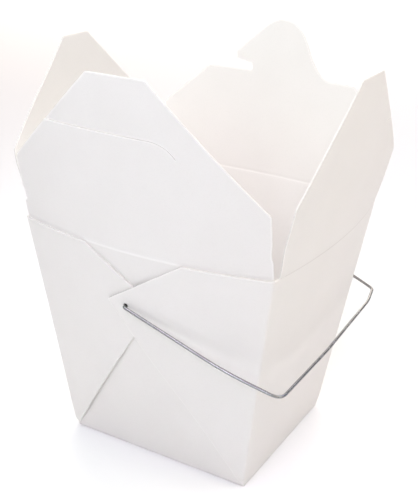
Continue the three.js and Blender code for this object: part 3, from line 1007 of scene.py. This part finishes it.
class PailBoard(bpy.types.PropertyGroup):
    thickness: length(
        "Board Thickness", "Thickness of the folded sheet", SHEET * MM, 0.0002, 0.0008
    )
    slit_width: length("Slit Width", "Width of the die-cut slits", 0.00022, 0.0001, 0.001)
    face_colour: colour("Board Colour", "Coated face of the board", (0.835, 0.803, 0.778))
    mottle_colour: colour("Mottle Colour", "Faint clouds in the coating", (0.818, 0.786, 0.76))
    fibre_colour: colour("Fibre Colour", "Fibres that show through", (0.77, 0.735, 0.705))
    # painted highlight along cuts and creases, in place of light caught on their rounded edges
    edge_colour: colour("Margin Colour", "Pressed margin along a cut", (0.925, 0.895, 0.87))
    # painted shade in the groove of a score line
    score_colour: colour("Score Colour", "Bruised line of a dark score", (0.71, 0.675, 0.645))
    core_colour: colour("Core Colour", "Raw core where the board is cut", (0.8, 0.77, 0.745))
    core_dark_colour: colour("Core Shade", "Darker fluff in the raw core", (0.7, 0.67, 0.645))
    grain: FloatProperty(
        name="Grain", description="Strength of the fibre grain in the surface",
        default=0.35, min=0, max=1, subtype="FACTOR",
    )


class PailWire(bpy.types.PropertyGroup):
    radius: length("Wire Radius", "Half the wire's diameter", 0.00064, 0.0003, 0.001)
    sides: IntProperty(name="Sides", description="Facets round the wire", default=20, min=8, max=32)
    steel_colour: colour("Steel Colour", "Bare drawn steel", (0.43, 0.43, 0.435))
    streak_colour: colour("Streak Colour", "Darker streaks left by drawing", (0.21, 0.21, 0.215))
    roughness: FloatProperty(
        name="Roughness", description="Roughness of the wire",
        default=0.22, min=0.1, max=0.8, subtype="FACTOR",
    )


class PailStage(bpy.types.PropertyGroup):
    floor_colour: colour("Floor Colour", "Plain pale floor", (0.95, 0.95, 0.95))
    sky: FloatProperty(
        name="Fill Light", description="Strength of the even light all round",
        default=0.17, min=0, max=4,
    )
    lamps: FloatProperty(
        name="Softboxes", description="Brightness of all the softboxes", default=1.0, min=0, max=4,
    )
    lens: FloatProperty(
        name="Lens", description="Focal length of the camera",
        default=0.066744, min=0.02, max=0.2, precision=4, unit="CAMERA",
    )


# ---- Operators ----


class PAIL_OT_carton(bpy.types.Operator):
    """Make the folded sheet of the pail: floor, walls and corner gussets"""

    bl_idname = "pail.carton"
    bl_label = "Carton"

    def execute(self, context):
        points, faces, far = carton_sheet()
        piece = sheet_object("pail_sheet", points, faces, far, context.scene.pail_board)
        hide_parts("carton")
        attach(piece, "pail")
        return {"FINISHED"}


class PAIL_OT_flaps(bpy.types.Operator):
    """Make the four lid flaps, each leaning out from its crease"""

    bl_idname = "pail.flaps"
    bl_label = "Lid Flaps"

    def execute(self, context):
        board = context.scene.pail_board
        for name, side, body, node, right, left, crown, slits in FLAPS:
            outline = flap_outline(flap_edge(side, *right), flap_edge(side, *left), crown)
            points, faces, far = flap_sheet(side, outline, slits, board.slit_width / MM)
            piece = sheet_object(name, points, faces, far, board)
            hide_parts(node)
            crease = (HEIGHT * Z + side.reach[1] * side.out) * MM
            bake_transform(piece)
        return {"FINISHED"}


class PAIL_OT_bail(bpy.types.Operator):
    """Make the wire bail, swung down against the pail's right side"""

    bl_idname = "pail.bail"
    bl_label = "Wire Bail"

    def execute(self, context):
        wire = context.scene.pail_wire
        line = [tuple(p * MM) for p in bail_path()]
        mesh = bpy.data.meshes.new("bail_line")
        mesh.from_pydata(line, [(i, i + 1) for i in range(len(line) - 1)], [])
        raw = placed("bail_line", mesh)
        sweep = raw.modifiers.new("wire", "NODES")
        sweep.node_group = wire_tree()
        set_input(sweep, "Wire Radius", wire.radius)
        set_input(sweep, "Sides", wire.sides)
        set_input(sweep, "Finish", material("drawn_steel_wire", drawn_steel_wire))
        piece = finished(raw, "bail_wire", WIRE_SMOOTH)
        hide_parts("bail")
        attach(piece, "handle")
        return {"FINISHED"}


FLOOR_REACH = 4.0
MIDDLE = (0, 0, 0.09)  # the pail's middle

# Each softbox: its place, what it is aimed at, its size in metres, its power in watts and its tint.
SOFTBOXES = (
    ("softbox_backdrop", (-0.6, 1.35, 1.0), MIDDLE, 1.8, 24.4, (1.0, 0.91, 0.815)),
    ("softbox_floor", (-0.9, 1.2, 0.7), (-0.9, 1.2, 0), 1.0, 1.3, (1.0, 1.0, 1.0)),
    ("softbox_top", (-0.1, -0.1, 0.42), MIDDLE, 0.3, 0.81, (0.84, 1.0, 0.965)),
    ("softbox_front", (0.1, -0.45, 0.34), MIDDLE, 0.3, 0.85, (0.78, 1.0, 0.947)),
    ("softbox_front_high", (0.1, -0.6, 0.75), MIDDLE, 0.5, 1.8, (1.0, 0.58, 0.95)),
    ("softbox_right", (0.35, 0, 0.42), MIDDLE, 0.3, 0.83, (1.0, 0.916, 0.69)),
    ("softbox_back_right", (0.65, 0.65, 1.1), MIDDLE, 0.9, 5.85, (0.663, 0.738, 1.0)),
)

# The camera's place, and its axes: across the picture, up it, and back from it.
CAMERA_PLACE = (0.183435, -0.326712, 0.247819)
CAMERA_AXES = (
    (0.8662404543, 0.4985575275, 0.0326782354),
    (-0.2245542718, 0.3300654795, 0.9168599448),
    (0.4463214697, -0.8015592124, 0.3978692934),
)


class PAIL_OT_stage(bpy.types.Operator):
    """Make the pale floor, the soft lights and the camera"""

    bl_idname = "pail.stage"
    bl_label = "Stage"

    def execute(self, context):
        stage = context.scene.pail_stage
        mesh = bpy.data.meshes.new("floor")
        far = FLOOR_REACH
        corners = [(-far, -far, 0), (far, -far, 0), (far, far, 0), (-far, far, 0)]
        mesh.from_pydata(corners, [], [(0, 1, 2, 3)])
        floor = placed("floor", mesh)
        mesh.materials.append(material("pale_floor", pale_floor))
        floor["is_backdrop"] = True
        world = context.scene.world or bpy.data.worlds.new("studio")
        context.scene.world = world
        world.use_nodes = True
        nodes = world.node_tree.nodes
        sky = nodes.get("Background") or nodes.new("ShaderNodeBackground")
        sky.inputs["Color"].default_value = (1.0, 1.0, 1.0, 1.0)
        sky.inputs["Strength"].default_value = stage.sky
        for name, place, aim, size, power, tint in SOFTBOXES:
            lamp = bpy.data.lights.new(name, "AREA")
            lamp.size, lamp.energy, lamp.color = size, power * stage.lamps, tint
            holder = placed(name, lamp)
            holder.location = place
            holder.visible_camera = False
            facing = (Vector(aim) - Vector(place)).to_track_quat("-Z", "Y")
            holder.rotation_euler = facing.to_euler()
        camera = bpy.data.cameras.new("camera")
        camera.lens = stage.lens * 1000
        camera.sensor_width = 36.0
        camera.clip_start, camera.clip_end = 0.01, 20.0
        eye = placed("camera", camera)
        turn = Matrix(CAMERA_AXES).transposed().to_4x4()
        eye.matrix_world = Matrix.Translation(CAMERA_PLACE) @ turn
        context.scene.camera = eye
        context.scene.view_settings.view_transform = "Standard"
        return {"FINISHED"}


class PAIL_PT_panel(bpy.types.Panel):
    bl_idname = "PAIL_PT_panel"
    bl_label = "Takeaway Pail"
    bl_space_type = "VIEW_3D"
    bl_region_type = "UI"
    bl_category = "Pail"

    def draw(self, context):
        for operator in OPERATORS:
            self.layout.operator(operator.bl_idname)
        for group_name, _ in GROUPS:
            settings = getattr(context.scene, group_name)
            box = self.layout.box()
            for name in settings.bl_rna.properties.keys():
                if name not in ("rna_type", "name"):
                    box.prop(settings, name)


GROUPS = (("pail_board", PailBoard), ("pail_wire", PailWire), ("pail_stage", PailStage))
OPERATORS = (PAIL_OT_stage, PAIL_OT_carton, PAIL_OT_flaps, PAIL_OT_bail)


def register():
    for name, group in GROUPS:
        bpy.utils.register_class(group)
        setattr(bpy.types.Scene, name, PointerProperty(type=group))
    for made in (*OPERATORS, PAIL_PT_panel):
        bpy.utils.register_class(made)


def unregister():
    for made in (PAIL_PT_panel, *reversed(OPERATORS)):
        bpy.utils.unregister_class(made)
    for name, group in reversed(GROUPS):
        delattr(bpy.types.Scene, name)
        bpy.utils.unregister_class(group)


def main():
    register()
    bpy.ops.pail.stage()
    bpy.ops.pail.carton()
    bpy.ops.pail.flaps()
    bpy.ops.pail.bail()
    boxes = {"cad": [list(p) for p in CAD_BOX], "visual": [list(p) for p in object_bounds()]}


if __name__ == "__main__":
    main()
